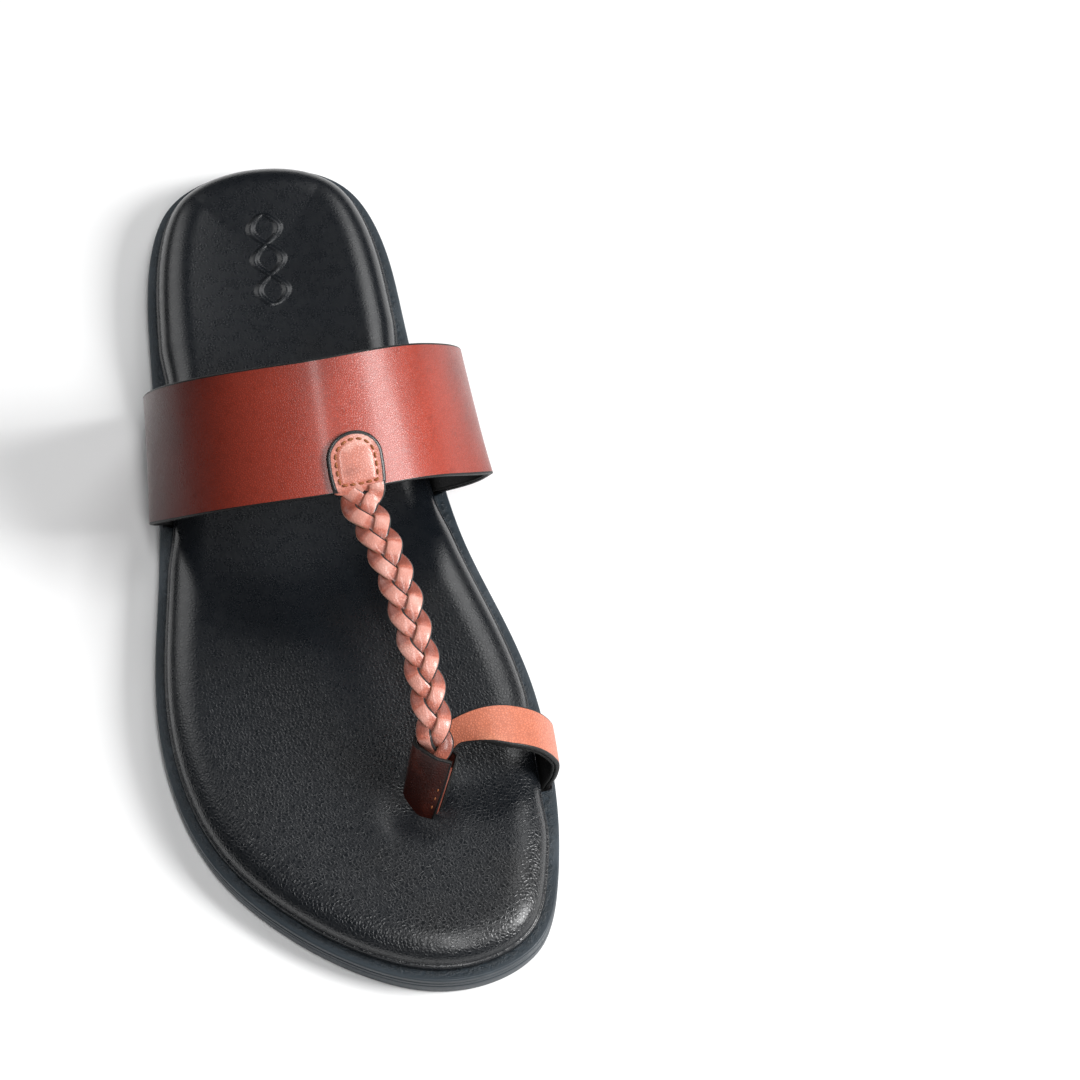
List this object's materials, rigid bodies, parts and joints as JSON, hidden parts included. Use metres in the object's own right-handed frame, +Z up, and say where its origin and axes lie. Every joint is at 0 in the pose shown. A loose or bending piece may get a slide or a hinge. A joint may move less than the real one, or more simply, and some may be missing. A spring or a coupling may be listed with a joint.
{
  "type": "flip flop",
  "caption": "Right-foot leather flip flop: broad arched instep band, braided centre strap from a stitched tab to a wrapped toe post, big-toe loop, padded footbed, rubber sole.",
  "frame": {"origin": "on the ground under the middle of the sole's length, where the sole's underside is plain", "axes": "+Z up, toe towards -Y, heel towards +Y, big-toe side towards +X"},
  "size_m": [0.1089, 0.28, 0.072],
  "materials": {
    "rubber": "matt slate-black moulded rubber",
    "filler": "soft closed-cell filler sheet, hidden",
    "fibre_board": "pressed cellulose board, hidden",
    "cushion_foam": "soft cushion foam, hidden",
    "black_leather": "black leather with a fine pebble grain and a soft shine",
    "chestnut_leather": "smooth burnished chestnut leather, darker towards its ends",
    "black_lining": "plain black lining leather",
    "braid_leather": "pinkish tan leather, soft, with dark cut edges",
    "tan_leather": "tan leather with a fine grain and black edges",
    "dark_leather": "glossy dark brown leather",
    "tan_thread": "waxed tan sewing thread"
  },
  "bodies": {
    "root": {"outsole": "rubber", "sole_filler": "filler", "insole_board": "fibre_board", "footbed_foam": "cushion_foam", "footbed_cover": "black_leather", "instep_band": "chestnut_leather", "instep_band_lining": "black_lining", "braid_tab": "braid_leather", "braid_strand_1": "braid_leather", "braid_strand_2": "braid_leather", "braid_strand_3": "braid_leather", "tab_needle_thread": "tan_thread", "tab_bobbin_thread": "tan_thread", "toe_loop": "tan_leather", "toe_loop_lining": "black_lining", "toe_post_wrap": "dark_leather", "toe_post_core": "braid_leather", "post_seam_thread": "tan_thread", "toe_post_anchor": "fibre_board"}
  },
  "joints": []
}
